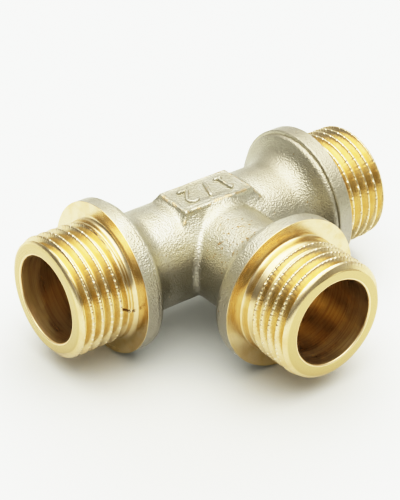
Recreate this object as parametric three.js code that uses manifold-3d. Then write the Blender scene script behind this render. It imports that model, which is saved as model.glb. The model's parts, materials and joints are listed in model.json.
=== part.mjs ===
// Equal tee with three male G 1/2 ports, hot forged from brass in one piece, nickel plated, then
// bored, faced and threaded from its ends. Millimetres, +Z up.
// The run lies along X, the branch points along -Y, and the tee rests on the rims of its collars.
// The origin is under the middle of the bounding box, on the surface that the collars stand on.

import * as THREE from "three";
import { mergeVertices } from "three/addons/utils/BufferGeometryUtils.js";
import Module from "manifold-3d";

const wasm = await Module();
wasm.setup();

// G 1/2 parallel pipe thread, Whitworth form
const threadRadius = 20.955 / 2;
const threadPitch = 25.4 / 14;
const threadDepth = 0.640327 * threadPitch;
const flankAngle = THREE.MathUtils.degToRad(27.5);

// waterway
const boreRadius = 7.6;
const boreMouthChamfer = 0.25;

// distances along each arm from the point where the axes cross: sealing face, then end of the thread
const runFace = 22;
const runEnd = 33;
const branchFace = 22.625;
const branchEnd = 33.375;

// threaded end
const neckRadius = 10.25;
const neckLength = 1.3125;
const crestRiseLength = 0.5;
const runOutLength = 2.25;
const endRingRadius = 9;
const endRoundLength = 1.375;

// collar and the forged shoulder behind it
const collarRadius = 13.375;
const collarWidth = 2.5;
const collarEdgeRadius = 0.35;
const shoulderRadius = 12.9;
const shoulderWidth = 0.9;
const shoulderEdgeRadius = 0.7;
const rootFilletRadius = 3;
const tubeRadius = 8.875;

// pad on the crown of the run, for the size marking; its middle and its heights are measured from
// the point where the axes cross
const padLength = 14;
const padWidth = 7.5;
const padMiddleX = -0.375;
const padMiddleY = -0.375;
const padSeatHeight = 8;
const padTopHeight = 9.375;

// fineness of the round surfaces
const roundSegments = 40;
const arcSteps = 2;

// anything that only cuts, or is cut away, reaches this far past what it meets
const clearance = 2;
const coreRadius = boreRadius - clearance;

const nickel = { color: 0xcbc6b4, roughness: 0.55, metalness: 0.9 };
const brass = { color: 0xd9b65c, roughness: 0.3, metalness: 1 };

const ports = [
  { side: "left", turn: Math.PI, face: runFace, end: runEnd },
  { side: "right", turn: 0, face: runFace, end: runEnd },
  { side: "branch", turn: -Math.PI / 2, face: branchFace, end: branchEnd },
];

function solidOf(geometry) {
  geometry.deleteAttribute("normal");
  geometry.deleteAttribute("uv");
  const merged = mergeVertices(geometry);
  const mesh = new wasm.Mesh({
    numProp: 3,
    vertProperties: merged.attributes.position.array,
    triVerts: Uint32Array.from(merged.index.array),
  });
  return new wasm.Manifold(mesh);
}

function geometryOf(solid) {
  const mesh = solid.getMesh();
  const geometry = new THREE.BufferGeometry();
  geometry.setAttribute("position", new THREE.BufferAttribute(mesh.vertProperties, 3));
  geometry.setIndex(new THREE.BufferAttribute(mesh.triVerts, 1));
  geometry.computeVertexNormals();
  return geometry;
}

// A ring turned about the X axis. The outline holds (distance along X, radius): it starts at the
// bore, goes out and along the outside towards +X, and closes on itself along the bore.
function turned(outline) {
  const points = outline.getPoints(arcSteps).map((point) => new THREE.Vector2(point.y, point.x));
  points.push(points[0].clone());
  const geometry = new THREE.LatheGeometry(points, roundSegments);
  return geometry.rotateZ(-Math.PI / 2);
}

function boreCutter(start, end) {
  const cylinder = new THREE.CylinderGeometry(boreRadius, boreRadius, end - start, roundSegments);
  cylinder.rotateZ(-Math.PI / 2);
  return cylinder.translate((start + end) / 2, 0, 0);
}

// Adds the forged shoulder to an outline that has reached the tube: a concave root fillet, a flat
// back and a rounded edge, up to the plane where the collar starts.
function addShoulder(outline, face) {
  const end = face - collarWidth;
  const back = end - shoulderWidth;
  const edgeCentre = shoulderRadius - shoulderEdgeRadius;
  const filletStart = back - rootFilletRadius;
  const filletCentre = tubeRadius + rootFilletRadius;
  outline.lineTo(filletStart, tubeRadius);
  outline.absarc(filletStart, filletCentre, rootFilletRadius, -Math.PI / 2, 0, false);
  outline.absarc(back + shoulderEdgeRadius, edgeCentre, shoulderEdgeRadius, Math.PI, Math.PI / 2, true);
  outline.lineTo(end, shoulderRadius);
  outline.lineTo(end, coreRadius);
}

function branchOutline() {
  const outline = new THREE.Path();
  outline.moveTo(0, coreRadius);
  outline.lineTo(0, tubeRadius);
  addShoulder(outline, branchFace);
  return outline;
}

// The run is symmetrical, so its outline is one arm's, mirrored and then repeated.
function runOutline() {
  const arm = new THREE.Path();
  arm.moveTo(0, tubeRadius);
  addShoulder(arm, runFace);
  const points = arm.getPoints(arcSteps);
  const mirrored = points.slice(1).reverse();
  const outline = new THREE.Path();
  outline.moveTo(-mirrored[0].x, mirrored[0].y);
  mirrored.slice(1).forEach((point) => outline.lineTo(-point.x, point.y));
  points.slice(1).forEach((point) => outline.lineTo(point.x, point.y));
  return outline;
}

function padBox(height) {
  const box = new THREE.BoxGeometry(padLength, padWidth, height);
  return box.translate(padMiddleX, padMiddleY, padSeatHeight + height / 2);
}

function bodyGeometry() {
  const branchTurn = -Math.PI / 2;
  const run = solidOf(turned(runOutline()));
  const branch = solidOf(turned(branchOutline()).rotateZ(branchTurn));
  const runBore = solidOf(boreCutter(-runFace, runFace));
  const branchBore = solidOf(boreCutter(0, branchFace).rotateZ(branchTurn));
  const padSeat = solidOf(padBox(clearance));
  const body = run.add(branch).subtract(runBore).subtract(branchBore).subtract(padSeat);
  return geometryOf(body);
}

// Collar with its turned sealing face, and the plain neck that the thread runs out towards.
function collarOutline(face) {
  const back = face - collarWidth;
  const neckEnd = face + neckLength;
  const edgeCentre = collarRadius - collarEdgeRadius;
  const outline = new THREE.Path();
  outline.moveTo(back, boreRadius);
  outline.lineTo(back, edgeCentre);
  outline.absarc(back + collarEdgeRadius, edgeCentre, collarEdgeRadius, Math.PI, Math.PI / 2, true);
  outline.lineTo(face, collarRadius);
  outline.lineTo(face, neckRadius);
  outline.lineTo(neckEnd, neckRadius);
  outline.lineTo(neckEnd, boreRadius);
  return outline;
}

function collarGeometry(face) {
  return geometryOf(solidOf(turned(collarOutline(face))));
}

// What the thread is cut from: a rise from the neck, the blank, a rounded edge, the end ring and the
// bore mouth.
function threadBlankOutline(start, end) {
  const blankRadius = threadRadius + clearance;
  const riseSlope = (threadRadius - neckRadius) / crestRiseLength;
  const roundStart = end - endRoundLength;
  const roundHeight = threadRadius - endRingRadius;
  const outline = new THREE.Path();
  outline.moveTo(start, boreRadius);
  outline.lineTo(start, neckRadius);
  outline.lineTo(start + (blankRadius - neckRadius) / riseSlope, blankRadius);
  outline.lineTo(roundStart, blankRadius);
  outline.lineTo(roundStart, threadRadius);
  outline.absellipse(roundStart, endRingRadius, endRoundLength, roundHeight, Math.PI / 2, 0, true);
  outline.lineTo(end, boreRadius + boreMouthChamfer);
  outline.lineTo(end - boreMouthChamfer, boreRadius);
  return outline;
}

// Fills the thread's grooves where they get shallower towards the neck: a cone that starts at the
// neck's radius and passes below the roots.
function runOutOutline(start) {
  const slope = (neckRadius - threadRadius + threadDepth) / runOutLength;
  const outline = new THREE.Path();
  outline.moveTo(start - clearance, coreRadius);
  outline.lineTo(start - clearance, neckRadius);
  outline.lineTo(start, neckRadius);
  outline.lineTo(start + (neckRadius - coreRadius) / slope, coreRadius);
  return outline;
}

// One pitch of the thread as [distance along X, radius]: root flat, flank, crest flat, flank.
function threadRows() {
  const flank = threadDepth * Math.tan(flankAngle);
  const flat = threadPitch / 2 - flank;
  const rootRadius = threadRadius - threadDepth;
  return [
    [0, rootRadius],
    [flat, rootRadius],
    [flat + flank, threadRadius],
    [2 * flat + flank, threadRadius],
  ];
}

// A right-hand screw along X, at least as long as asked. Each row of the thread form climbs one
// pitch in a turn, where it meets the row that started one pitch further on. Column 0 holds the
// extra rows that the last column meets, and a fan of triangles closes each end.
function screwGeometry(start, length) {
  const form = threadRows();
  const rowsPerTurn = form.length;
  const lastRow = rowsPerTurn * Math.ceil(length / threadPitch);
  const columnLengths = Array.from({ length: roundSegments }, () => lastRow + 1);
  columnLengths[0] += rowsPerTurn;

  const positions = [];
  const columnStarts = [];
  columnLengths.forEach((rows, column) => {
    const turn = column / roundSegments;
    columnStarts.push(positions.length / 3);
    for (let row = 0; row < rows; row += 1) {
      const [offset, radius] = form[row % rowsPerTurn];
      const x = start + offset + threadPitch * (Math.floor(row / rowsPerTurn) + turn);
      positions.push(x, radius * Math.cos(turn * 2 * Math.PI), radius * Math.sin(turn * 2 * Math.PI));
    }
  });
  const startCentre = positions.length / 3;
  const endCentre = startCentre + 1;
  positions.push(start, 0, 0);
  positions.push(start + threadPitch * (lastRow / rowsPerTurn + 1), 0, 0);

  const at = (column, row) =>
    column === roundSegments ? columnStarts[0] + row + rowsPerTurn : columnStarts[column] + row;
  const triangles = [];
  const startRim = [];
  const endRim = [];
  for (let column = 0; column < roundSegments; column += 1) {
    for (let row = 0; row < lastRow; row += 1) {
      triangles.push(at(column, row), at(column + 1, row), at(column, row + 1));
      triangles.push(at(column + 1, row), at(column + 1, row + 1), at(column, row + 1));
    }
    startRim.push(at(column, 0));
    endRim.push(at(column, lastRow));
  }
  for (let row = rowsPerTurn; row > 0; row -= 1) {
    startRim.push(at(0, row));
    endRim.push(at(0, lastRow + row));
  }
  startRim.forEach((vertex, i) => triangles.push(startCentre, startRim[(i + 1) % startRim.length], vertex));
  endRim.forEach((vertex, i) => triangles.push(endCentre, vertex, endRim[(i + 1) % endRim.length]));

  const geometry = new THREE.BufferGeometry();
  geometry.setAttribute("position", new THREE.Float32BufferAttribute(positions, 3));
  geometry.setIndex(triangles);
  return geometry;
}

function threadGeometry(port) {
  const start = port.face + neckLength;
  const screwStart = start - 2 * threadPitch;
  const screwLength = port.end - screwStart + threadPitch;
  const blank = solidOf(turned(threadBlankOutline(start, port.end)));
  const screw = solidOf(screwGeometry(screwStart, screwLength));
  const runOut = solidOf(turned(runOutOutline(start)));
  return geometryOf(screw.add(runOut).intersect(blank));
}

function namedMesh(name, geometry, finish) {
  const mesh = new THREE.Mesh(geometry, new THREE.MeshStandardMaterial(finish));
  mesh.name = name;
  return mesh;
}

function portGroup(port) {
  const group = new THREE.Group();
  group.rotation.z = port.turn;
  group.add(namedMesh(`collar_${port.side}`, collarGeometry(port.face), nickel));
  group.add(namedMesh(`thread_${port.side}`, threadGeometry(port), brass));
  return group;
}

const tee = new THREE.Group();
tee.position.set(0, (branchEnd - collarRadius) / 2, collarRadius);
tee.add(namedMesh("tee_body", bodyGeometry(), nickel));
tee.add(namedMesh("marking_pad", padBox(padTopHeight - padSeatHeight), nickel));
ports.forEach((port) => tee.add(portGroup(port)));

export default tee;
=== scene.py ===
"""The finished look of an equal tee with three male G 1/2 ports.

The tee is a shot-blasted brass forging, plated with dull nickel and then bored, faced and threaded,
so its collar faces, threads and bores are bare turned brass. Lengths are in millimetres from the
point where the tee's axes cross, and become metres in the frame's own place when a mesh is made.

Each arm has its own coordinates: distance out along the arm, sideways, and up. Radius and angle are
taken about the arm's axis, with the angle measured from sideways towards up.
"""

import json
import math

import bmesh
import bpy
import numpy as np
from mathutils import Matrix, Vector


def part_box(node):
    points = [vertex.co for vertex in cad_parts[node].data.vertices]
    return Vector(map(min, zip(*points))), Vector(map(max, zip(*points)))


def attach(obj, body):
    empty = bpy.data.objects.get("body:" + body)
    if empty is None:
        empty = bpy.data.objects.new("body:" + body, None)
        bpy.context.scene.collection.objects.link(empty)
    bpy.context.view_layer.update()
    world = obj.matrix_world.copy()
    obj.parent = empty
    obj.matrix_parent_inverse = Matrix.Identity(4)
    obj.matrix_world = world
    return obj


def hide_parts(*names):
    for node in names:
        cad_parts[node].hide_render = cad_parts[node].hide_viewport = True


MM = 0.001
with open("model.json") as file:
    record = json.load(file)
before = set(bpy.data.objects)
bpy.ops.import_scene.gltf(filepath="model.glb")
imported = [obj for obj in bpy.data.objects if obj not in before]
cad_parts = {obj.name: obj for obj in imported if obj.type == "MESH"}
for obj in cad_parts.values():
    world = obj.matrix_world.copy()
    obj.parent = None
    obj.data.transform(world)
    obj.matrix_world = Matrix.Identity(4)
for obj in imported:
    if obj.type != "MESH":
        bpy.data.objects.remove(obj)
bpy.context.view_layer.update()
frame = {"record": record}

# --- sizes that the frame gives ------------------------------------------------------------------


def box_mm(node):
    low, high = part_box(node)
    return np.array(low) / MM, np.array(high) / MM


def mount_mm(name):
    mounts = {mount["name"]: mount for mount in frame["record"]["mounts"]}
    return np.array(mounts[name]["pos_m"]) / MM


run_low, run_high = box_mm("thread_right")
branch_low, branch_high = box_mm("thread_branch")
CROSSING = np.array([
    (branch_low[0] + branch_high[0]) / 2,
    (run_low[1] + run_high[1]) / 2,
    (run_low[2] + run_high[2]) / 2,
])
CREST_RADIUS = (run_high[2] - run_low[2]) / 2
collar_low, collar_high = box_mm("collar_right")
RIM_RADIUS = (collar_high[2] - collar_low[2]) / 2
COLLAR_WIDTH = mount_mm("right_collar_face")[0] - collar_low[0]
pad_low, pad_high = box_mm("marking_pad")
PAD_CENTRE = (pad_low + pad_high) / 2 - CROSSING
PAD_HALF = (pad_high - pad_low) / 2
PAD_TOP = pad_high[2] - CROSSING[2]

# --- other sizes ---------------------------------------------------------------------------------

BORE_RADIUS = 7.6
BORE_MOUTH_ROUND = 0.3
BORE_ROWS = 8

PITCH = 25.4 / 14
THREAD_DEPTH = 0.640327 * PITCH
FLANK_SLOPE = 1 / math.tan(math.radians(27.5))
THREAD_ROUNDING = 0.16
THREAD_STARTS = {"left": -0.33, "right": 0.14, "branch": 0.27}

# how many nicks there are around each crest, their depth and their half width
NICKS = {"left": (58, 0.06, 0.12), "right": (40, 0.09, 0.15), "branch": (72, 0.09, 0.13)}
NICK_SHALLOWEST = 0.45
NICK_UNEVENNESS = 0.8
NICK_CLEARANCE = 0.05
# the burrs beside a nick: their height as a share of its depth, and their place and width as
# multiples of its half width
BURR_SHARE = 0.5
BURR_PLACE = 2.1
BURR_WIDTH = 0.8

NECK_RADIUS = 10.25
NECK_LENGTH = 1.3
RUN_OUT_SLOPES = {"left": 1.2, "right": 0.42, "branch": 0.3}
RUN_OUT_ROUNDING = 0.2
CREST_RISE_START = 0.5
CREST_RISE_SLOPE = 0.45
CREST_RISE_ROUNDING = 0.12
# how far each corner stands out from its neck, and how far it reaches along it
NECK_CORNERS = {"left": (0.8, 0.8), "right": (0.5, 0.5), "branch": (0.35, 1.2)}
NECK_CORNER_ROWS = 16
NECK_RING_SPACING = 0.6
NECK_RING_DEPTH = 0.06
NECK_RING_LENGTH = 2.4
NECK_RING_REACH = 1.1
NECK_RING_STOP = math.radians(-4)
# the angle over which the rings fade at the dents, and the distance over which they fade outwards
NECK_RING_FADE = (0.03, 0.3)
# each dent's distance from the collar face, angle, half length and depth
NECK_DENTS = [(1.75, math.radians(-3.2), 0.6, 0.35), (0.6, math.radians(-4.8), 0.3, 0.3)]
DENT_WIDTH = 0.24
# how deep a dent must be before it takes painted shade, and how strongly its depth darkens it
DENT_START = 0.12
DENT_SHADE_STRENGTH = 2.0

END_RING_RADIUS = 9.0
END_ROUND_LENGTH = 1.35
END_ROUNDING = 0.08
END_EDGE_LENGTH = 0.2
END_EDGE_ROWS = 8
# where the end ring's circles of points lie: 0 is its outside, and 1 is the bore's mouth
END_RING_SHARES = (0.03, 0.5, 1.0)
BORE_RING_DEPTH = 3

# the forged back of the right rim reaches further along the run than the plain ring in the frame
COLLAR_BACK_EXTRAS = {"left": 0.0, "right": 0.3, "branch": 0.0}
RIM_BACK_ROUND = 0.3
RIM_FRONT_EDGE = 0.06
RIM_ROW_STEP = 0.15
RIM_SKIN_DEPTH = 0.03
COLLAR_BACK_RINGS = (10, 12, 12.5)
COLLAR_FACE_RINGS = (12.4, 11, 9.6)

# the lumps of the forged skin, large and small: their height and spacing
LARGE_LUMPS = (0.03, 3.4)
SMALL_LUMPS = (0.012, 1.3)
# the small lumps are read from the noise this far from the large ones
LUMP_SHIFT = 50

RUN_TUBE = {"radius": 8.875, "drop": 0.1}
BRANCH_TUBE = {"radius": 8.65, "drop": 0.3}
SHOULDER_RADIUS = 13.0
SHOULDER_WIDTH = 0.9
SHOULDER_ROUND = 0.5
SHOULDER_DROP = 0.3
SHOULDER_LEAN = math.radians(27)
SHOULDER_OVERLAP = 2
ROOT_FILLET = 2.3
CROTCH_FILLET = 1.3
CROTCH_FADE = 1.6

PAD_ROUND = 0.22
PAD_END_LEAN = 0.6
PAD_SIDE_LEAN = 0.4
PAD_FILLET = 0.7
PAD_FRONT_FILLET = 1.9
PAD_FRONT_MERGE = (-8.5, 5.0)
PAD_FRONT_START = 2
PAD_FOOT_HEIGHT = 6.0
PAD_BEAD = 0.13
PAD_EDGE_BAND = 0.2
PAD_EDGE_WIDTH = 0.3

MARK_WIDTH = 0.75
MARK_HEIGHT = 0.4
MARK_SUNK = 0.2
MARK_STEP = 0.15
MARK_WEAR = 0.04
MARK_TOP_SHINE = 0.45
MARK_END_WIDTH = 0.6
# half of a stroke's width is 1 across, and its height is 1 up
MARK_SECTION = [(1, 0), (0.8, 0.7), (0.45, 1), (-0.45, 1), (-0.8, 0.7), (-1, 0)]

# --- finishes and light --------------------------------------------------------------------------

# one layer of values for worn edges, the nicks' painted highlights and the dents' painted shade
WEAR_GLINT_SHADE = "wear_glint_shade_layer"
NICKEL_COLOUR = (0.59, 0.56, 0.44)
NICKEL_WARM = (0.53, 0.49, 0.355)
# painted shade: the plating's underside is coloured darker where less light reaches it
NICKEL_UNDERSIDE_PAINTED_SHADE = (0.4, 0.37, 0.3)
# heights above the arms' axes between which the painted shade on the underside fades out, and how
# far the clouds move that edge up and down
UNDERSIDE_SHADE_SPAN = (0.5, 5.5)
CLOUD_LIFT = 2
# painted shade towards the right port, where less lamp light falls: its colour, and the distances
# along the run over which it grows
NICKEL_RIGHT_PAINTED_SHADE = (0.47, 0.43, 0.315)
RIGHT_SHADE_SPAN = (5, 14)
NICKEL_PIT = (0.34, 0.29, 0.21)
RUST_COLOUR = (0.34, 0.2, 0.065)
WORN_COLOUR = (0.68, 0.51, 0.29)
SPECK_CENTRE = np.array([-4.0, -13.0, 6.5])
BRASS_COLOUR = (0.79, 0.645, 0.385)
BRASS_DULL = (0.72, 0.55, 0.29)
# painted shade deep in the thread grooves
BRASS_GROOVE_PAINTED_SHADE = (0.72, 0.55, 0.235)
BRASS_END = (0.58, 0.45, 0.21)
END_SKIN = 0.15
BRASS_MARK = (0.6, 0.43, 0.16)
# paler brass in the nicks, which stands in for their glints: a painted highlight
BRASS_NICK_PAINTED_GLINT = (1.0, 0.92, 0.7)
NICK_ROUGHNESS = 0.45
# painted shade in the dents on the left neck
DENT_PAINTED_SHADE = (0.2, 0.11, 0.04)
BORE_COLOUR = (0.92, 0.74, 0.44)
BORE_MARK = (0.76, 0.57, 0.31)

PAPER_COLOUR = (0.855, 0.885, 0.86)
# painted shadow on the paper near the tee's left front: its colour, middle and fade, in metres
PAPER_PAINTED_SHADOW = (0.74, 0.745, 0.69)
PAINTED_SHADOW_PLACE = (-0.022, -0.016, 0.0)
PAINTED_SHADOW_SPAN = (0.004, 0.055)

# sizes of the finishes' features
NICKEL_CLOUDS = 4.0
NICKEL_GRAIN = 0.28
NICKEL_GRAIN_HEIGHT = 0.125
SPECK_SIZE = 0.6
WEAR_PATCHES = 0.9
BRASS_CLOUDS = 2.5
FINE_MARKS = 0.6
BROAD_MARKS = 1.3
FINE_BORE_MARKS = 0.25
BROAD_BORE_MARKS = 1.4
# how much faster turning marks pass across a face than along the arm
RADIAL_TRAVEL = 1.7

SKY_COLOUR = (1.0, 1.0, 0.98)
FRONT_LIGHT = 0.26
BACK_LIGHT = 0.84
UPPER_LIGHT = 0.7
WALL_DIRECTION = (0.6, 0.8, 0.0)
GAP_DIRECTION = (-0.75, 0.6, 0.28)
GAP_EDGE = 0.8
GAP_CORE = 0.97
GAP_SHARE = 0.55
LAMP_LIGHT = 2.9
LAMP_DIRECTION = (0.05, -0.02, 1.0)
LAMP_CORE = 0.9
LAMP_EDGE = 0.58
# the tone curve: its white, and its other points as a light and how bright it is shown
TONE_WHITE = 3.2
TONE_TOE = [(0.03, 0.014), (0.06, 0.034), (0.1, 0.07), (0.17, 0.135), (0.25, 0.22), (0.35, 0.33)]
TONE_SHOULDER = [(0.5, 0.48), (0.8, 0.7), (1.2, 0.86), (1.7, 0.935), (2.4, 0.975)]

COLUMNS = 600
THREAD_ROW_STEP = 0.055
BODY_CELL = 0.22


# --- arms ----------------------------------------------------------------------------------------


class Arm:
    """One arm of the tee: its direction, and the distances out along it."""

    def __init__(self, side, turn):
        self.side = side
        self.along = np.array([math.cos(turn), math.sin(turn), 0.0])
        self.sideways = np.array([-math.sin(turn), math.cos(turn), 0.0])
        self.face = (mount_mm(f"{side}_collar_face") - CROSSING) @ self.along
        self.end = (mount_mm(f"{side}_end") - CROSSING) @ self.along
        self.back = self.face - COLLAR_WIDTH - COLLAR_BACK_EXTRAS[side]
        self.shoulder_back = self.face - COLLAR_WIDTH - SHOULDER_WIDTH

    def to_tee(self, local):
        """Arm coordinates to tee coordinates."""
        return local[:, :1] * self.along + local[:, 1:2] * self.sideways + local[:, 2:] * [0, 0, 1]


ARMS = [Arm("left", math.pi), Arm("right", 0.0), Arm("branch", -math.pi / 2)]
RIGHT_ARM = ARMS[1]
BRANCH_ARM = ARMS[2]


# --- mesh helpers --------------------------------------------------------------------------------


def smooth_max(a, b, rounding):
    """The larger of two values, with the corner between them rounded off."""
    overlap = np.maximum(rounding - np.abs(a - b), 0) / rounding
    return np.maximum(a, b) + overlap**2 * rounding / 4


def smooth_min(a, b, rounding):
    return -smooth_max(-a, -b, rounding)


def to_metres(tee_points):
    return (tee_points + CROSSING) * MM


def new_object(name, mesh):
    piece = bpy.data.objects.new(name, mesh)
    bpy.context.scene.collection.objects.link(piece)
    return piece


def mesh_from(name, tee_points, faces):
    mesh = bpy.data.meshes.new(name)
    mesh.from_pydata(to_metres(tee_points), [], faces)
    mesh.validate()
    return mesh


def ring_angles(count=COLUMNS):
    return np.linspace(0, 2 * math.pi, count, endpoint=False)


def ring_grid(distances, radii):
    """Local points of a grid of rings. Both arrays have one row for each ring and one column for
    each angle."""
    angles = ring_angles(radii.shape[1])
    return np.stack(
        [distances.ravel(), (radii * np.cos(angles)).ravel(), (radii * np.sin(angles)).ravel()], 1
    )


def ring_faces(rows, columns, closed):
    """Quads between neighbouring rings, facing away from the axis where the rings run outwards
    along the arm. A closed grid also joins its last ring to its first."""
    row = np.arange(rows if closed else rows - 1)[:, None]
    column = np.arange(columns)[None, :]
    next_row = (row + 1) % rows
    next_column = (column + 1) % columns
    corners = [
        row * columns + column,
        row * columns + next_column,
        next_row * columns + next_column,
        next_row * columns + column,
    ]
    return np.stack([corner.ravel() for corner in corners], 1)


def set_material_rows(mesh, row_materials, columns):
    """Gives the faces of a ring grid their material, one number for each row of faces."""
    mesh.polygons.foreach_set("material_index", np.repeat(row_materials, columns).astype(np.int32))


def shade(mesh, sharp_degrees=40):
    mesh.shade_smooth()
    mesh.set_sharp_from_angle(angle=math.radians(sharp_degrees))


def arc(centre, radius, start_degrees, end_degrees, steps):
    """Points (distance, radius) on a circular arc."""
    angles = np.radians(np.linspace(start_degrees, end_degrees, steps + 1))
    return [(centre[0] + radius * math.cos(a), centre[1] + radius * math.sin(a)) for a in angles]


class LatticeNoise:
    """Smooth random values in space, between -1 and 1, the same on every run."""

    def __init__(self, seed, size=24):
        self.size = size
        self.values = np.random.default_rng(seed).uniform(-1, 1, (size, size, size))

    def at(self, points, spacing):
        scaled = points / spacing
        cell = np.floor(scaled).astype(int)
        share = scaled - cell
        share = share * share * (3 - 2 * share)
        total = np.zeros(len(points))
        for step in np.ndindex(2, 2, 2):
            weight = np.where(step, share, 1 - share).prod(1)
            i, j, k = ((cell + step) % self.size).T
            total += weight * self.values[i, j, k]
        return total


FORGED = LatticeNoise(seed=5)


def forged_relief(points):
    """Height of the uneven forged skin: soft lumps, large and small."""
    large_height, large_spacing = LARGE_LUMPS
    small_height, small_spacing = SMALL_LUMPS
    large = large_height * FORGED.at(points, large_spacing)
    return large + small_height * FORGED.at(points + LUMP_SHIFT, small_spacing)


# --- threads -------------------------------------------------------------------------------------


def thread_radius(distance, angle, arm):
    """The threaded end's outside at a distance along the arm and an angle about it: its radius, and a
    share up to 1 in a nick, for a painted highlight, and below 0 in a dent, for painted shade."""
    turns = (distance - arm.end) / PITCH - angle / (2 * math.pi) - THREAD_STARTS[arm.side]
    from_crest = np.abs(turns - np.round(turns)) * PITCH
    flat = PITCH / 4 - THREAD_DEPTH / 2 / FLANK_SLOPE
    form = CREST_RADIUS - (from_crest - flat) * FLANK_SLOPE
    form = smooth_min(form, CREST_RADIUS, THREAD_ROUNDING)
    form = smooth_max(form, CREST_RADIUS - THREAD_DEPTH, THREAD_ROUNDING)
    crest_share = np.clip((form - CREST_RADIUS + THREAD_DEPTH) / THREAD_DEPTH, 0, 1)
    nick, depth = nick_shape(angle, np.round(turns), NICKS[arm.side])
    nick = nick * crest_share**3
    form = form - nick * depth
    past_neck = distance - arm.face - NECK_LENGTH
    groove_limit = NECK_RADIUS - past_neck * RUN_OUT_SLOPES[arm.side]
    crest_limit = NECK_RADIUS + np.maximum(past_neck - CREST_RISE_START, 0) * CREST_RISE_SLOPE
    form = smooth_max(form, groove_limit, RUN_OUT_ROUNDING)
    form = smooth_min(form, crest_limit, CREST_RISE_ROUNDING)
    form = smooth_min(form, end_round(distance, arm), END_ROUNDING)
    nick_share = np.abs(nick) * (form > NECK_RADIUS + NICK_CLEARANCE)
    relief = neck_relief(distance - arm.face, angle, arm)
    form = form + neck_corner(distance - arm.face, *NECK_CORNERS[arm.side])
    # a dent's depth, below DENT_START, gives painted shade
    return form + relief, np.where(relief < -DENT_START, relief * DENT_SHADE_STRENGTH, nick_share)


def end_round(distance, arm):
    """Radius of the rounded edge between the end ring and the first crest."""
    from_end = np.clip((arm.end - distance) / END_ROUND_LENGTH, 0, 1)
    rise = np.sqrt(1 - (1 - from_end) ** 2)
    beyond = np.maximum(arm.end - distance - END_ROUND_LENGTH, 0)
    return END_RING_RADIUS + (CREST_RADIUS - END_RING_RADIUS) * rise + beyond


def neck_corner(from_face, height, length):
    """How far the rounded corner at the collar's face stands out from the neck."""
    into_corner = np.clip(1 - from_face / length, 0, 1)
    return height * (1 - np.sqrt(1 - into_corner**2))


def repeatable_random(*numbers):
    """A number from 0 to 1 that looks random but depends only on what is given."""
    mixed = sum(number * factor for number, factor in zip(numbers, (12.9898, 78.233)))
    return np.mod(np.sin(mixed) * 43758.5453, 1)


def nick_shape(angle, crest, nicks):
    """The small axial nicks that a serrating roller leaves across the crests: 1 in the middle of a
    nick and below 0 on the burrs beside it, and how deep 1 is."""
    count, depth, width = nicks
    turns = (angle / (2 * math.pi)) * count
    nick = np.round(turns)
    uneven = NICK_SHALLOWEST + NICK_UNEVENNESS * repeatable_random(np.mod(nick, count), crest)
    offset = (turns - nick) * 2 * math.pi * CREST_RADIUS / count
    dent = np.exp(-((offset / width) ** 2))
    from_burr = (np.abs(offset) - BURR_PLACE * width) / (BURR_WIDTH * width)
    burr = BURR_SHARE * np.exp(-(from_burr**2))
    return uneven * (dent - burr), depth


def neck_relief(from_face, angle, arm):
    """Where the thread's cutter left the left neck: faint rings that stop at a pair of dents."""
    if arm.side != "left":
        return np.zeros(np.broadcast(from_face, angle).shape)
    angle_fade, length_fade = NECK_RING_FADE
    past_stop = np.mod(angle - NECK_RING_STOP + math.pi, 2 * math.pi) - math.pi
    ring_share = np.clip(past_stop / angle_fade, 0, 1) * np.clip(NECK_RING_REACH - past_stop, 0, 1)
    ring_share = ring_share * np.clip((NECK_RING_LENGTH - from_face) / length_fade, 0, 1)
    waves = 1 + np.cos(2 * math.pi * from_face / NECK_RING_SPACING)
    relief = -NECK_RING_DEPTH / 2 * waves * ring_share
    for middle, dent_angle, half_length, depth in NECK_DENTS:
        along = (from_face - middle) / half_length
        past_dent = np.mod(angle - dent_angle + math.pi, 2 * math.pi) - math.pi
        across = past_dent * NECK_RADIUS / DENT_WIDTH
        relief = relief - depth * np.exp(-(across**2) - along**4)
    return relief


def thread_rows(arm):
    """How far along the arm the rings of its threaded outside are, closest where it curves most."""
    turns = np.linspace(0, math.pi / 2, NECK_CORNER_ROWS, endpoint=False)
    length = NECK_CORNERS[arm.side][1]
    corner = arm.face + length * (1 - np.cos(turns))
    outside = np.arange(arm.face + length, arm.end - END_EDGE_LENGTH, THREAD_ROW_STEP)
    edge = arm.end - END_EDGE_LENGTH * np.linspace(0.9, 0, END_EDGE_ROWS) ** 2
    return np.concatenate([corner, outside, edge])


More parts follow.
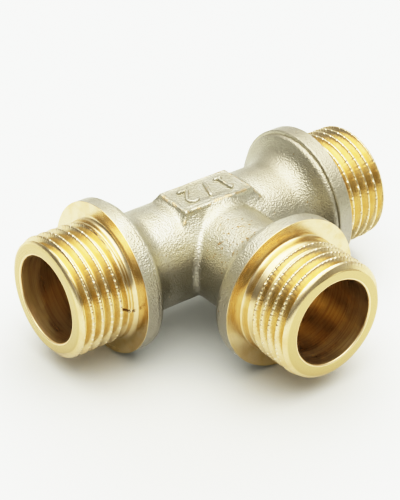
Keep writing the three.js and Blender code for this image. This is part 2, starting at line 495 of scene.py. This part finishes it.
def make_thread(arm):
    """A threaded end: the turned outside, the end ring, and the bore behind it."""
    angles = ring_angles()
    outside = thread_rows(arm)
    distance = np.repeat(outside[:, None], COLUMNS, 1)
    radius, nick = thread_radius(distance, angles[None, :], arm)
    end_radius = radius[-1:]
    mouth_centre = (arm.end - BORE_MOUTH_ROUND, BORE_RADIUS + BORE_MOUTH_ROUND)
    mouth = arc(mouth_centre, BORE_MOUTH_ROUND, 0, -90, 5)
    mouth_radius = mouth_centre[1]
    for share in END_RING_SHARES:
        distance = np.vstack([distance, np.full((1, COLUMNS), arm.end)])
        radius = np.vstack([radius, end_radius + (mouth_radius - end_radius) * share])
    inner = mouth[1:] + [(arm.end - BORE_RING_DEPTH, BORE_RADIUS), (arm.face, BORE_RADIUS)]
    for at, r in inner:
        distance = np.vstack([distance, np.full((1, COLUMNS), at)])
        radius = np.vstack([radius, np.full((1, COLUMNS), r)])
    points = arm.to_tee(ring_grid(distance, radius))
    mesh = mesh_from(f"thread_{arm.side}_turned", points, ring_faces(len(distance), COLUMNS, True))
    # the nicks' share of painted highlight and the dents' painted shade
    nicked = np.zeros(distance.shape)
    nicked[: len(outside)] = nick
    mesh.attributes.new(WEAR_GLINT_SHADE, "FLOAT", "POINT").data.foreach_set("value", nicked.ravel())
    mesh.materials.append(BRASS[arm.side])
    mesh.materials.append(BORE_BRASS[arm.side])
    bore_rows = np.zeros(len(distance))
    bore_rows[len(outside) + 2 :] = 1
    set_material_rows(mesh, bore_rows, COLUMNS)
    shade(mesh)
    piece = new_object(f"thread_{arm.side}_turned", mesh)
    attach(piece, "root")
    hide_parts(f"thread_{arm.side}")
    return piece


# --- collars -------------------------------------------------------------------------------------


def make_collar(arm):
    """The collar: a plated rim with a softly rounded back edge, and a turned brass face."""
    edge_centre = (arm.back + RIM_BACK_ROUND, RIM_RADIUS - RIM_BACK_ROUND)
    outline = [(arm.back, radius) for radius in (BORE_RADIUS, *COLLAR_BACK_RINGS)]
    flat_rings = len(outline)
    outline += arc(edge_centre, RIM_BACK_ROUND, 180, 90, 8)
    rim = np.arange(edge_centre[0] + RIM_ROW_STEP, arm.face - RIM_FRONT_EDGE, RIM_ROW_STEP)
    outline += [(distance, RIM_RADIUS) for distance in rim]
    outline += [(arm.face - RIM_FRONT_EDGE, RIM_RADIUS)]
    plated = len(outline)
    face_rings = (RIM_RADIUS - RIM_FRONT_EDGE, *COLLAR_FACE_RINGS, BORE_RADIUS)
    outline += [(arm.face, radius) for radius in face_rings]
    table = np.array(outline)
    distance = np.repeat(table[:, :1], COLUMNS, 1)
    radius = np.repeat(table[:, 1:], COLUMNS, 1)
    places = arm.to_tee(ring_grid(distance, radius))
    relief = forged_relief(places).reshape(radius.shape)
    radius[flat_rings:plated] += np.minimum(relief[flat_rings:plated] - RIM_SKIN_DEPTH, 0)
    points = arm.to_tee(ring_grid(distance, radius))
    mesh = mesh_from(f"collar_{arm.side}_faced", points, ring_faces(len(table), COLUMNS, True))
    mesh.materials.append(NICKEL)
    mesh.materials.append(BRASS[arm.side])
    mesh.materials.append(BORE_BRASS[arm.side])
    rows = np.zeros(len(table))
    rows[plated - 1 :] = 1
    rows[-1] = 2
    set_material_rows(mesh, rows, COLUMNS)
    shade(mesh)
    piece = new_object(f"collar_{arm.side}_faced", mesh)
    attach(piece, "root")
    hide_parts(f"collar_{arm.side}")
    return piece


# --- body ----------------------------------------------------------------------------------------


def fillet_union(a, b, fillet):
    """Two solids' distances joined, with a concave fillet of a given radius between them."""
    inside = np.hypot(np.maximum(fillet - a, 0), np.maximum(fillet - b, 0))
    return np.maximum(fillet, np.minimum(a, b)) - inside


def arm_distance(along, sideways, up, arm, tube_size):
    """Signed distance to one forged arm: tube, root fillet, and a shoulder with a leaning back."""
    tube = np.hypot(sideways, up + tube_size["drop"]) - tube_size["radius"]
    out = np.hypot(sideways, up + SHOULDER_DROP) - SHOULDER_RADIUS
    behind = arm.shoulder_back - along
    before = behind * math.cos(SHOULDER_LEAN) + out * math.sin(SHOULDER_LEAN)
    across = np.maximum(before, along - arm.back - SHOULDER_OVERLAP) + SHOULDER_ROUND
    out = out + SHOULDER_ROUND
    corner = np.hypot(np.maximum(across, 0), np.maximum(out, 0))
    shoulder = corner + np.minimum(np.maximum(across, out), 0) - SHOULDER_ROUND
    return fillet_union(tube, shoulder, ROOT_FILLET)


def pad_walls(x, y, z):
    """How far a point is beyond the pad's leaning ends, its leaning sides and its top."""
    down = PAD_TOP - z
    beyond_end = np.abs(x - PAD_CENTRE[0]) - PAD_HALF[0] - down * PAD_END_LEAN
    beyond_side = np.abs(y - PAD_CENTRE[1]) - PAD_HALF[1] - down * PAD_SIDE_LEAN
    return beyond_end, beyond_side, -down


def pad_distance(x, y, z):
    """Signed distance to the marking pad."""
    beyond_end, beyond_side, above = pad_walls(x, y, z)
    beyond = np.maximum(above, PAD_FOOT_HEIGHT - z)
    walls = np.stack([beyond_end, beyond_side, beyond]) + PAD_ROUND
    outside = np.sqrt((np.maximum(walls, 0) ** 2).sum(0))
    inside = np.minimum(walls.max(0), 0)
    return outside + inside - PAD_ROUND


def pad_fillet(x, y):
    """Fillet at the pad's foot: small, but wide where its front side meets the branch's crown."""
    from_middle = (x - sum(PAD_FRONT_MERGE) / 2) / (PAD_FRONT_MERGE[1] - PAD_FRONT_MERGE[0]) * 2
    merge = np.clip(2 - 2 * np.abs(from_middle), 0, 1) * np.clip(-y - PAD_FRONT_START, 0, 1)
    return PAD_FILLET + (PAD_FRONT_FILLET - PAD_FILLET) * merge


def pad_edge_wear(points):
    """1 along the edges of the pad's top and at its corners, and 0 away from them."""
    walls = np.sort(np.stack(pad_walls(*points.T)), 0)
    on_pad = np.abs(walls[2]) < PAD_EDGE_BAND
    return np.exp(-((walls[1] / PAD_EDGE_WIDTH) ** 2)) * on_pad


def body_distance(points):
    """Signed distance to the outside of the forging, in tee coordinates."""
    x, y, z = points.T
    run_arm_distance = arm_distance(np.abs(x), y, z, RIGHT_ARM, RUN_TUBE)
    branch_arm_distance = np.maximum(arm_distance(-y, x, z, BRANCH_ARM, BRANCH_TUBE), y)
    run_radius = np.hypot(y, z) + 1e-9
    branch_radius = np.hypot(x, z) + 1e-9
    alike = np.clip(z * z / (run_radius * branch_radius), 0, 1)
    crotch = CROTCH_FILLET * (1 - alike) ** CROTCH_FADE + 1e-6
    tee = fillet_union(run_arm_distance, branch_arm_distance, crotch)
    return fillet_union(tee, pad_distance(x, y, z), pad_fillet(x, y))


def rough_body_distance(points):
    """The same with the uneven forged skin, and a raised bead of flash along the pad's edges."""
    return body_distance(points) - forged_relief(points) - PAD_BEAD * pad_edge_wear(points)


def surface_net(distance, low, high, cell):
    """Points and quads of the surface where the distance is zero, by the surface nets method, with
    the points then moved onto the surface."""
    axes = [np.arange(a, b + cell, cell) for a, b in zip(low, high)]
    shape = tuple(len(axis) for axis in axes)
    grid = np.stack(np.meshgrid(*axes, indexing="ij"), -1).reshape(-1, 3)
    values = np.concatenate([distance(chunk) for chunk in np.array_split(grid, 16)]).reshape(shape)
    inside = values < 0
    cells = tuple(n - 1 for n in shape)
    corner = np.zeros(cells, np.int32)
    for i, j, k in np.ndindex(2, 2, 2):
        corner += inside[i : i + cells[0], j : j + cells[1], k : k + cells[2]]
    crossed = (corner > 0) & (corner < 8)
    number = np.full(cells, -1)
    number[crossed] = np.arange(crossed.sum())
    places = np.argwhere(crossed)
    points = np.array([axis[0] for axis in axes]) + (places + 0.5) * cell
    quads = []
    for axis in range(3):
        first, second = (axis + 1) % 3, (axis + 2) % 3
        near = np.take(inside, range(shape[axis] - 1), axis)
        far = np.take(inside, range(1, shape[axis]), axis)
        edges = np.argwhere(near != far)
        fits = (edges[:, first] > 0) & (edges[:, second] > 0)
        fits &= (edges[:, first] < cells[first]) & (edges[:, second] < cells[second])
        edges = edges[fits]
        leaving = near[tuple(edges.T)]
        ring = []
        for step in ((-1, -1), (0, -1), (0, 0), (-1, 0)):
            at = edges.copy()
            at[:, first] += step[0]
            at[:, second] += step[1]
            ring.append(number[tuple(at.T)])
        quad = np.stack(ring, 1)
        quad[~leaving] = quad[~leaving][:, ::-1]
        quads.append(quad)
    return settle(points, distance, cell), np.concatenate(quads)


def settle(points, distance, cell, rounds=6):
    """Moves points along the distance's slope until they lie on its surface."""
    step = cell * 0.05
    for _ in range(rounds):
        slope = np.stack(
            [
                (distance(points + offset) - distance(points - offset)) / (2 * step)
                for offset in np.eye(3) * step
            ],
            1,
        )
        size = np.maximum((slope**2).sum(1), 0.1)
        move = slope * (distance(points) / size)[:, None]
        points = points - np.clip(move, -cell, cell)
    return points


def bore_points():
    """The bores inside the body, arm by arm: points and quads."""
    angles = ring_angles()
    points, quads = [], []
    count = 0
    for arm in ARMS:
        sideways = BORE_RADIUS * np.cos(angles)
        up = BORE_RADIUS * np.sin(angles)
        towards_branch = sideways * (arm.sideways @ BRANCH_ARM.along)
        start = np.abs(sideways) if arm is BRANCH_ARM else np.maximum(towards_branch, 0)
        share = np.linspace(0, 1, BORE_ROWS)[:, None]
        distance = start + (arm.back - start) * share
        local = np.stack([distance, np.broadcast_to(sideways, distance.shape)], -1)
        local = np.concatenate([local, np.broadcast_to(up, distance.shape)[..., None]], -1)
        points.append(arm.to_tee(local.reshape(-1, 3)))
        quads.append(ring_faces(BORE_ROWS, COLUMNS, False)[:, ::-1] + count)
        count += BORE_ROWS * COLUMNS
    return np.concatenate(points), np.concatenate(quads)


def make_body():
    """The forging between the collars, with its bores and its marking pad."""
    reach = np.array([RIGHT_ARM.back + 1, RIM_RADIUS, RIM_RADIUS + 0.5])
    low = np.array([-reach[0], -BRANCH_ARM.back - 1, -reach[2]])
    points, quads = surface_net(body_distance, low, reach, BODY_CELL)
    points = settle(points, rough_body_distance, BODY_CELL, 2)
    shell = bmesh.new()
    mesh = bpy.data.meshes.new("tee_body_forged")
    mesh.from_pydata(points, [], quads)
    shell.from_mesh(mesh)
    for arm in ARMS:
        everything = shell.verts[:] + shell.edges[:] + shell.faces[:]
        bmesh.ops.bisect_plane(
            shell,
            geom=everything,
            plane_co=Vector(arm.along * arm.back),
            plane_no=Vector(arm.along),
            clear_outer=True,
            dist=1e-4,
        )
    bore, bore_quads = bore_points()
    bore_verts = [shell.verts.new(point) for point in bore]
    for quad in bore_quads:
        shell.faces.new([bore_verts[i] for i in quad]).material_index = 1
    bmesh.ops.remove_doubles(shell, verts=bore_verts, dist=1e-4)
    for arm in ARMS:
        rim = [
            edge
            for edge in shell.edges
            if edge.is_boundary
            and all(abs(np.array(vert.co) @ arm.along - arm.back) < 1e-3 for vert in edge.verts)
        ]
        bmesh.ops.triangle_fill(shell, edges=rim, use_beauty=False, normal=Vector(arm.along))
    places = np.array([vert.co for vert in shell.verts])
    shell.to_mesh(mesh)
    shell.free()
    mesh.vertices.foreach_set("co", to_metres(places).ravel())
    wear_glint_shade = mesh.attributes.new(WEAR_GLINT_SHADE, "FLOAT", "POINT")
    wear_glint_shade.data.foreach_set("value", pad_edge_wear(places))
    mesh.materials.append(NICKEL)
    mesh.materials.append(BORE_BRASS["right"])
    shade(mesh)
    piece = new_object("tee_body_forged", mesh)
    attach(piece, "root")
    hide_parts("tee_body", "marking_pad")
    return piece


# --- size marking -------------------------------------------------------------------------------


def stroke_ring(centre, across, share):
    """Cross-section of a raised stroke: a low ridge with a rounded top, sunk into the pad."""
    half = MARK_WIDTH / 2
    foot = [(-1, -MARK_SUNK), (1, -MARK_SUNK)]
    ring = []
    for side, rise in foot + MARK_SECTION:
        height = rise * MARK_HEIGHT * share if rise > 0 else rise
        spot = centre + across * side * half * (MARK_END_WIDTH + (1 - MARK_END_WIDTH) * share)
        ring.append((spot[0], spot[1], PAD_TOP + height))
    return ring


def stroke(path):
    """Points and faces of one closed stroke along a path on the pad, tapered at its ends."""
    path = np.array(path, float)
    lengths = np.hypot(*np.diff(path, axis=0).T)
    travel = np.concatenate([[0], np.cumsum(lengths)])
    steps = np.linspace(0, travel[-1], max(int(travel[-1] / MARK_STEP), 4))
    spots = np.stack([np.interp(steps, travel, path[:, axis]) for axis in (0, 1)], 1)
    ahead = np.gradient(spots, axis=0)
    across = np.stack([-ahead[:, 1], ahead[:, 0]], 1) / np.hypot(*ahead.T)[:, None]
    from_end = np.minimum(steps, travel[-1] - steps)
    shares = np.clip(from_end / (MARK_WIDTH / 2), 0, 1) ** 0.5
    points = [corner for ring in map(stroke_ring, spots, across, shares) for corner in ring]
    size = len(points) // len(spots)
    faces = [tuple(range(size))[::-1], tuple(range(len(points) - size, len(points)))]
    for row in range(len(spots) - 1):
        for column in range(size):
            beside = (column + 1) % size
            faces.append((
                row * size + column,
                row * size + beside,
                (row + 1) * size + beside,
                (row + 1) * size + column,
            ))
    return points, faces


def make_size_mark():
    """A generic raised size mark, 1/2, read from the back of the tee."""
    bow = [(math.sin(a), math.cos(a)) for a in np.radians(np.linspace(-80, 130, 12))]
    two = [(0.95 * x, 1.0 + 0.9 * y) for x, y in bow] + [(-0.95, -1.9), (1.1, -1.9)]
    one = [(-0.9, 1.0), (0.0, 1.9), (0.0, -1.9)]
    foot = [(-0.95, -1.9), (0.95, -1.9)]
    slash = [(0.8, 2.1), (-0.8, -2.1)]
    points, faces = [], []
    for outline, middle in ((one, -4.0), (foot, -4.0), (slash, -0.4), (two, 3.6)):
        path = [(PAD_CENTRE[0] - x - middle, PAD_CENTRE[1] - y) for x, y in outline]
        new_points, new_faces = stroke(path)
        faces += [tuple(corner + len(points) for corner in face) for face in new_faces]
        points += new_points
    places = np.array(points)
    places[:, 2] += np.where(places[:, 2] > PAD_TOP, FORGED.at(places, 0.9) * MARK_WEAR, 0)
    mesh = mesh_from("size_mark", places, faces)
    wear_glint_shade = mesh.attributes.new(WEAR_GLINT_SHADE, "FLOAT", "POINT")
    on_top = places[:, 2] > PAD_TOP + MARK_HEIGHT / 2
    wear_glint_shade.data.foreach_set("value", np.where(on_top, MARK_TOP_SHINE, 0))
    mesh.materials.append(NICKEL)
    shade(mesh, 60)
    piece = new_object("size_mark", mesh)
    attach(piece, "root")
    return piece


# --- materials -----------------------------------------------------------------------------------


def new_material(name, colour, metallic, roughness):
    material = bpy.data.materials.new(name)
    material.use_nodes = True
    shader = material.node_tree.nodes["Principled BSDF"]
    shader.inputs["Base Color"].default_value = (*colour, 1)
    shader.inputs["Metallic"].default_value = metallic
    shader.inputs["Roughness"].default_value = roughness
    return material, material.node_tree, shader


def add_node(tree, kind, inputs=None, **settings):
    """Adds a node. Each input is given a number, a vector, or another node's output."""
    node = tree.nodes.new(f"ShaderNode{kind}")
    for name, value in settings.items():
        setattr(node, name, value)
    for name, value in (inputs or {}).items():
        if isinstance(value, bpy.types.NodeSocket):
            tree.links.new(value, node.inputs[name])
        else:
            node.inputs[name].default_value = value
    return node


def math_node(tree, operation, first, second=0.0):
    return add_node(tree, "Math", {0: first, 1: second}, operation=operation).outputs[0]


def vector_node(tree, operation, first, second=(0, 0, 0)):
    node = add_node(tree, "VectorMath", {0: first, 1: tuple(second)}, operation=operation)
    return node.outputs["Value" if operation in ("DOT_PRODUCT", "LENGTH") else "Vector"]


def scaled_vector(tree, vector, factor):
    return add_node(tree, "VectorMath", {0: vector, "Scale": factor}, operation="SCALE").outputs[0]


def noise(tree, vector, feature, detail=2.0, rough=0.5):
    """Noise whose features are about as large as asked, in millimetres."""
    inputs = {"Vector": vector, "Scale": 1 / (feature * MM), "Detail": detail, "Roughness": rough}
    return add_node(tree, "TexNoise", inputs).outputs["Fac"]


def remap(tree, value, low, high, new_low, new_high):
    """Takes the range low..high smoothly to new_low..new_high, and holds beyond its ends."""
    inputs = {"Value": value, 1: low, 2: high, 3: new_low, 4: new_high}
    return add_node(tree, "MapRange", inputs, interpolation_type="SMOOTHSTEP").outputs["Result"]


def mix_colours(tree, share, first, second):
    """First colour where the share is 0, second where it is 1. Each is an output or a colour."""
    node = add_node(tree, "Mix", {0: share}, data_type="RGBA")
    for number, colour in ((6, first), (7, second)):
        if isinstance(colour, bpy.types.NodeSocket):
            tree.links.new(colour, node.inputs[number])
        else:
            node.inputs[number].default_value = (*colour, 1)
    return node.outputs[2]


def bumps(tree, heights):
    """Stacks bump nodes. Each height is an output and what it is worth in millimetres."""
    normal = None
    for height, worth in heights:
        node = add_node(tree, "Bump", {"Height": height, "Distance": worth * MM})
        if normal:
            tree.links.new(normal, node.inputs["Normal"])
        normal = node.outputs["Normal"]
    return normal


def nickel_material():
    """Dull blasted nickel: sparkling grain, a cloudy tone, painted shade towards the underside and the
    right port, rusty specks, and brass where edges are worn."""
    material, tree, shader = new_material("blasted_nickel", NICKEL_COLOUR, 1.0, 0.5)
    place = add_node(tree, "TexCoord").outputs["Object"]
    clouds = noise(tree, place, NICKEL_CLOUDS, 3)
    grain = noise(tree, place, NICKEL_GRAIN, 1)
    tone = mix_colours(tree, remap(tree, clouds, 0.35, 0.65, 0, 1), NICKEL_COLOUR, NICKEL_WARM)

    axes = add_node(tree, "SeparateXYZ", {"Vector": place}).outputs
    # painted shade towards the right port
    start, end = np.array(RIGHT_SHADE_SPAN) * MM
    tone = mix_colours(tree, remap(tree, axes["X"], start, end, 0, 0.9), tone, NICKEL_RIGHT_PAINTED_SHADE)
    # painted shade on the underside, its edge moved up and down by the clouds
    cloud_height = math_node(tree, "MULTIPLY", clouds, CLOUD_LIFT * MM)
    cloudy_height = math_node(tree, "ADD", axes["Z"], cloud_height)
    low, high = (CROSSING[2] + CLOUD_LIFT / 2 + np.array(UNDERSIDE_SHADE_SPAN)) * MM
    tone = mix_colours(tree, remap(tree, cloudy_height, low, high, 1, 0), tone, NICKEL_UNDERSIDE_PAINTED_SHADE)
    tone = mix_colours(tree, remap(tree, grain, 0.3, 0.42, 0.4, 0), tone, NICKEL_PIT)

    speck_zone = vector_node(tree, "SUBTRACT", place, to_metres(SPECK_CENTRE))
    from_zone = vector_node(tree, "LENGTH", speck_zone)
    speck_limit = remap(tree, from_zone, 2 * MM, 9 * MM, 0.59, 0.73)
    speck = math_node(tree, "SUBTRACT", noise(tree, place, SPECK_SIZE, 1.5), speck_limit)
    tone = mix_colours(tree, remap(tree, speck, 0, 0.06, 0, 0.75), tone, RUST_COLOUR)

    wear_glint_shade = add_node(tree, "Attribute", attribute_name=WEAR_GLINT_SHADE).outputs["Fac"]
    patches = noise(tree, place, WEAR_PATCHES)
    ragged = math_node(tree, "ADD", wear_glint_shade, remap(tree, patches, 0.3, 0.7, -0.9, 0.25))
    tone = mix_colours(tree, remap(tree, ragged, 0.3, 0.9, 0, 0.75), tone, WORN_COLOUR)
    tree.links.new(tone, shader.inputs["Base Color"])
    tree.links.new(remap(tree, grain, 0.3, 0.7, 0.42, 0.34), shader.inputs["Roughness"])
    tree.links.new(bumps(tree, [(grain, NICKEL_GRAIN_HEIGHT)]), shader.inputs["Normal"])
    return material


def turned_places(tree, arm):
    """Coordinates for marks that a cutting tool leaves: the place, how far it is along the arm, how
    far it is from the arm's axis, and the direction away from that axis."""
    place = add_node(tree, "TexCoord").outputs["Object"]
    from_axis = vector_node(tree, "SUBTRACT", place, CROSSING * MM)
    along = vector_node(tree, "DOT_PRODUCT", from_axis, arm.along)
    across = vector_node(tree, "MULTIPLY", from_axis, 1 - np.abs(arm.along))
    radius = vector_node(tree, "LENGTH", across)
    outwards = vector_node(tree, "NORMALIZE", across)
    return place, along, radius, outwards


def turning_marks(tree, arm, turned, spacing, drift):
    """Noise in rings about the arm's axis: spacing apart in millimetres, and changing more slowly
    around them the smaller the drift."""
    _, along, radius, outwards = turned
    travel = math_node(tree, "ADD", along, math_node(tree, "MULTIPLY", radius, RADIAL_TRAVEL))
    across_marks = math_node(tree, "MULTIPLY", travel, 1 / (spacing * MM))
    travelled = scaled_vector(tree, tuple(arm.along), across_marks)
    around = scaled_vector(tree, outwards, drift)
    total = add_node(tree, "VectorMath", {0: travelled, 1: around}, operation="ADD")
    inputs = {"Vector": total.outputs[0], "Scale": 1.0, "Detail": 2.0}
    return add_node(tree, "TexNoise", inputs).outputs["Fac"]


def brass_material(arm):
    """Bright turned brass: rings of tool marks, with a slightly uneven tone, a duller end ring,
    painted shade in the thread grooves and dents, and paler nicks whose colour is a painted highlight.
    """
    material, tree, shader = new_material(f"turned_brass_{arm.side}", BRASS_COLOUR, 1.0, 0.2)
    turned = turned_places(tree, arm)
    place, along, radius, _ = turned
    fine = turning_marks(tree, arm, turned, FINE_MARKS, 0.3)
    broad = turning_marks(tree, arm, turned, BROAD_MARKS, 0.2)
    clouds = noise(tree, place, BRASS_CLOUDS, 3)
    tone = mix_colours(tree, remap(tree, clouds, 0.4, 0.7, 0, 1), BRASS_COLOUR, BRASS_DULL)
    tone = mix_colours(tree, remap(tree, fine, 0.25, 0.42, 0.25, 0), tone, BRASS_MARK)
    # painted shade, strongest at the bottom of the thread grooves
    groove_low, groove_high = (CREST_RADIUS - THREAD_DEPTH * np.array([0.9, 0.2])) * MM
    tone = mix_colours(tree, remap(tree, radius, groove_low, groove_high, 0.45, 0), tone, BRASS_GROOVE_PAINTED_SHADE)
    at_end = remap(tree, along, (arm.end - END_SKIN) * MM, (arm.end - END_SKIN / 2) * MM, 0, 1)
    tone = mix_colours(tree, at_end, tone, BRASS_END)
    wear_glint_shade = add_node(tree, "Attribute", attribute_name=WEAR_GLINT_SHADE).outputs["Fac"]
    # the nicks' paler colour is a painted highlight; they are also rougher
    nicked = remap(tree, wear_glint_shade, 0.15, 0.9, 0, 1)
    tone = mix_colours(tree, nicked, tone, BRASS_NICK_PAINTED_GLINT)
    # painted shade in the dents
    tone = mix_colours(tree, remap(tree, wear_glint_shade, -0.7, -0.2, 1, 0), tone, DENT_PAINTED_SHADE)
    tree.links.new(tone, shader.inputs["Base Color"])
    dull = remap(tree, broad, 0.3, 0.7, 0.2, 0.28)
    rough_nick = math_node(tree, "MULTIPLY", nicked, NICK_ROUGHNESS)
    tree.links.new(math_node(tree, "MAXIMUM", dull, rough_nick), shader.inputs["Roughness"])
    tree.links.new(bumps(tree, [(broad, 0.007), (fine, 0.003)]), shader.inputs["Normal"])
    return material


def bore_material(arm):
    """Drilled brass, browner and rougher than the turned outside, with faint ring marks."""
    material, tree, shader = new_material(f"bored_brass_{arm.side}", BORE_COLOUR, 1.0, 0.3)
    turned = turned_places(tree, arm)
    fine = turning_marks(tree, arm, turned, FINE_BORE_MARKS, 0.9)
    broad = turning_marks(tree, arm, turned, BROAD_BORE_MARKS, 0.7)
    tone = mix_colours(tree, remap(tree, fine, 0.3, 0.6, 0, 1), BORE_MARK, BORE_COLOUR)
    tree.links.new(tone, shader.inputs["Base Color"])
    tree.links.new(remap(tree, broad, 0.3, 0.7, 0.27, 0.4), shader.inputs["Roughness"])
    tree.links.new(bumps(tree, [(broad, 0.008), (fine, 0.012)]), shader.inputs["Normal"])
    return material


# --- surroundings --------------------------------------------------------------------------------


def make_floor():
    """A large sheet of pale paper, with a painted shadow that makes it greyer near the tee's left
    front.
    """
    mesh = bpy.data.meshes.new("floor")
    size = 3.0
    corners = [(-size, -size, 0), (size, -size, 0), (size, size, 0), (-size, size, 0)]
    mesh.from_pydata(corners, [], [(0, 1, 2, 3)])
    material, tree, shader = new_material("pale_paper", PAPER_COLOUR, 0.0, 0.8)
    place = add_node(tree, "TexCoord").outputs["Object"]
    # painted shadow near the tee's left front
    from_painted_shadow = vector_node(tree, "LENGTH", vector_node(tree, "SUBTRACT", place, PAINTED_SHADOW_PLACE))
    tone = mix_colours(tree, remap(tree, from_painted_shadow, *PAINTED_SHADOW_SPAN, 0, 1), PAPER_PAINTED_SHADOW, PAPER_COLOUR)
    tree.links.new(tone, shader.inputs["Base Color"])
    mesh.materials.append(material)
    new_object("floor", mesh)


def make_sky():
    """A white light tent: one large soft light overhead, walls that are darker in front, and a gap
    at the left."""
    world = bpy.data.worlds.new("light_tent")
    bpy.context.scene.world = world
    world.use_nodes = True
    tree = world.node_tree
    direction = add_node(tree, "TexCoord").outputs["Generated"]
    up = add_node(tree, "SeparateXYZ", {"Vector": direction}).outputs["Z"]
    backwards = vector_node(tree, "DOT_PRODUCT", direction, WALL_DIRECTION)
    wall = remap(tree, backwards, -0.7, 0.7, FRONT_LIGHT, BACK_LIGHT)
    wall_share = remap(tree, up, 0.15, 0.75, 1, 0)
    inputs = {0: wall_share, 2: UPPER_LIGHT, 3: wall}
    walls = add_node(tree, "Mix", inputs).outputs[0]
    towards_gap = vector_node(tree, "DOT_PRODUCT", direction, GAP_DIRECTION)
    kept = remap(tree, towards_gap, GAP_EDGE, GAP_CORE, 1, 1 - GAP_SHARE)
    walls = math_node(tree, "MULTIPLY", walls, kept)
    towards_lamp = vector_node(tree, "DOT_PRODUCT", direction, LAMP_DIRECTION)
    lamp = remap(tree, towards_lamp, LAMP_EDGE, LAMP_CORE, 0, LAMP_LIGHT)
    light = math_node(tree, "ADD", walls, lamp)
    tree.links.new(light, tree.nodes["Background"].inputs["Strength"])
    tree.nodes["Background"].inputs["Color"].default_value = (*SKY_COLOUR, 1)


def set_tone_curve():
    """A camera's tone curve: dark tones gain contrast, and bright ones bend softly to white."""
    view = bpy.context.scene.view_settings
    view.view_transform = "Standard"
    view.use_curve_mapping = True
    mapping = view.curve_mapping
    mapping.white_level = (TONE_WHITE, TONE_WHITE, TONE_WHITE)
    all_colours = mapping.curves[3]
    for light, shown in TONE_TOE + TONE_SHOULDER:
        all_colours.points.new(light / TONE_WHITE, shown)
    mapping.update()


def make_camera():
    """A long lens looking down at the tee from its front left."""
    azimuth = math.radians(-37.84)
    elevation = math.radians(31.98)
    roll = math.radians(0.35)
    distance = 287.5
    focal_length = 119.5
    target = np.array([-1.235, 0.0, -2.4])
    back = np.array([
        math.sin(azimuth) * math.cos(elevation),
        -math.cos(azimuth) * math.cos(elevation),
        math.sin(elevation),
    ])
    camera = bpy.data.objects.new("camera", bpy.data.cameras.new("camera"))
    camera.data.lens = focal_length
    camera.data.clip_start = 0.01
    turn = Vector(back).to_track_quat("Z", "Y").to_matrix().to_4x4()
    camera.matrix_world = (
        Matrix.Translation(to_metres(target + distance * back)) @ turn @ Matrix.Rotation(roll, 4, "Z")
    )
    bpy.context.scene.collection.objects.link(camera)
    bpy.context.scene.camera = camera


# --- making --------------------------------------------------------------------------------------

make_camera()
make_floor()
make_sky()
set_tone_curve()

NICKEL = nickel_material()
BRASS = {arm.side: brass_material(arm) for arm in ARMS}
BORE_BRASS = {arm.side: bore_material(arm) for arm in ARMS}

make_body()
make_size_mark()
for arm in ARMS:
    make_collar(arm)
    make_thread(arm)
